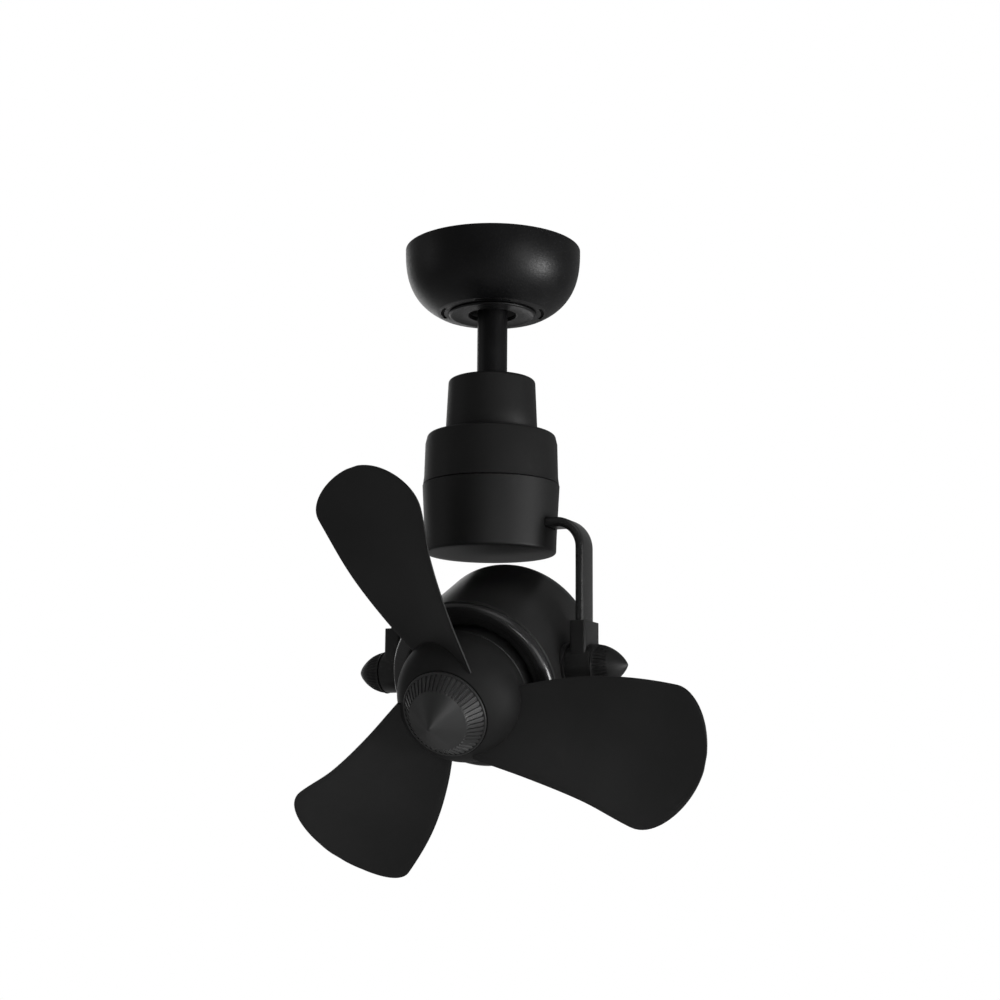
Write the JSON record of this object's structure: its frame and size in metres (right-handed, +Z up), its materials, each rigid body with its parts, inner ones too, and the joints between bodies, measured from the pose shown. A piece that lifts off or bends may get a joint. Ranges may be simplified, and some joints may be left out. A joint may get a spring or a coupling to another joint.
{
  "type": "ceiling fan",
  "caption": "Compact black ceiling fan: a tilting motor head with a pitched rotor in a yoke that turns below a short downrod and a bowl-shaped canopy.",
  "frame": {"origin": "middle of the hanger bracket's upper face, where it lies against the ceiling", "axes": "+Z up, the line of the downrod along Z, the head's tilt axis along X, the head facing -Y and down"},
  "size_m": [0.3609, 0.2459, 0.5242],
  "materials": {
    "black_paint": "satin black paint",
    "powder_coat": "fine satin black powder coat",
    "black_plastic": "satin black moulded plastic",
    "steel": "plain zinc-plated steel",
    "black_screw": "black oxide",
    "white_plastic": "white moulded plastic",
    "rubber": "matte black rubber",
    "copper": "enamelled copper wire, wound",
    "laminations": "stacked steel sheets",
    "magnet": "dark bonded ferrite",
    "board": "green circuit board"
  },
  "bodies": {
    "ceiling_fixing": {"hanger_bracket": "steel", "receiver_module": "white_plastic", "canopy": "powder_coat", "canopy_trim": "powder_coat", "canopy_screw_1": "black_screw", "canopy_screw_2": "black_screw"},
    "hanging": {"hanger_ball": "rubber", "hanger_pin": "steel", "downrod": "black_paint", "downrod_lead": "rubber", "coupling_cover": "black_paint", "downrod_coupling": "steel", "coupling_pin": "steel", "coupling_screw_1": "black_screw", "coupling_screw_2": "black_screw", "slip_ring": "black_plastic", "upper_housing": "black_paint", "orbit_bearing_upper": "steel", "orbit_bearing_lower": "steel", "orbit_motor": "steel"},
    "pinion": {"orbit_pinion": "white_plastic"},
    "yoke": {"orbit_gear": "white_plastic", "turntable": "steel", "spindle_nut": "steel", "lower_housing": "black_paint", "turntable_screw_1": "black_screw", "turntable_screw_2": "black_screw", "arm_left": "black_paint", "arm_right": "black_paint", "arm_clamp": "steel", "arm_clamp_screw_1": "black_screw", "arm_clamp_screw_2": "black_screw", "pivot_fitting_left": "black_paint", "pivot_fitting_right": "black_paint", "pivot_washer_left": "steel", "pivot_washer_right": "steel"},
    "head": {"motor_housing": "black_paint", "front_ring": "black_paint", "motor_mount": "steel", "stator_core": "laminations", "stator_winding": "copper", "motor_bearing_front": "steel", "motor_bearing_rear": "steel", "driver_board": "board", "pivot_bolt_left": "steel", "pivot_bolt_right": "steel"},
    "rotor": {"rotor_can": "black_paint", "magnet_ring": "magnet", "motor_shaft": "steel", "hub_shell": "black_plastic", "blade_carrier": "black_plastic", "blade_1": "black_plastic", "blade_2": "black_plastic", "blade_3": "black_plastic", "blade_screw_1": "black_screw", "blade_screw_2": "black_screw", "blade_screw_3": "black_screw", "spinner_cap": "black_plastic"},
    "left_knob": {"tilt_knob_left": "black_paint"},
    "right_knob": {"tilt_knob_right": "black_paint"}
  },
  "joints": [
    {"name": "hanger_swing", "type": "hinge", "parent": "ceiling_fixing", "child": "hanging", "pos_m": [0, 0, -0.03101], "axis": [1, 0, 0], "range_deg": [-10, 10]},
    {"name": "orbit", "type": "hinge", "parent": "hanging", "child": "yoke", "pos_m": [0, 0, -0.204], "axis": [0, 0, 1], "continuous": true},
    {"name": "pinion_spin", "type": "hinge", "parent": "hanging", "child": "pinion", "pos_m": [0, 0.0375, -0.1905], "axis": [0, 0, 1], "continuous": true},
    {"name": "head_tilt", "type": "hinge", "parent": "yoke", "child": "head", "pos_m": [0, 0, -0.355], "axis": [1, 0, 0], "range_deg": [-13, 62]},
    {"name": "rotor_spin", "type": "hinge", "parent": "head", "child": "rotor", "pos_m": [0, 0, -0.355], "axis": [0, -0.8878, -0.4602], "continuous": true},
    {"name": "left_knob_turn", "type": "hinge", "parent": "head", "child": "left_knob", "pos_m": [-0.1, 0, -0.355], "axis": [-1, 0, 0], "range_deg": [0, 360]},
    {"name": "right_knob_turn", "type": "hinge", "parent": "head", "child": "right_knob", "pos_m": [0.1, 0, -0.355], "axis": [1, 0, 0], "range_deg": [0, 360]}
  ],
  "couplings": [
    {"joint": "pinion_spin", "follows": "orbit", "ratio": -4}
  ]
}
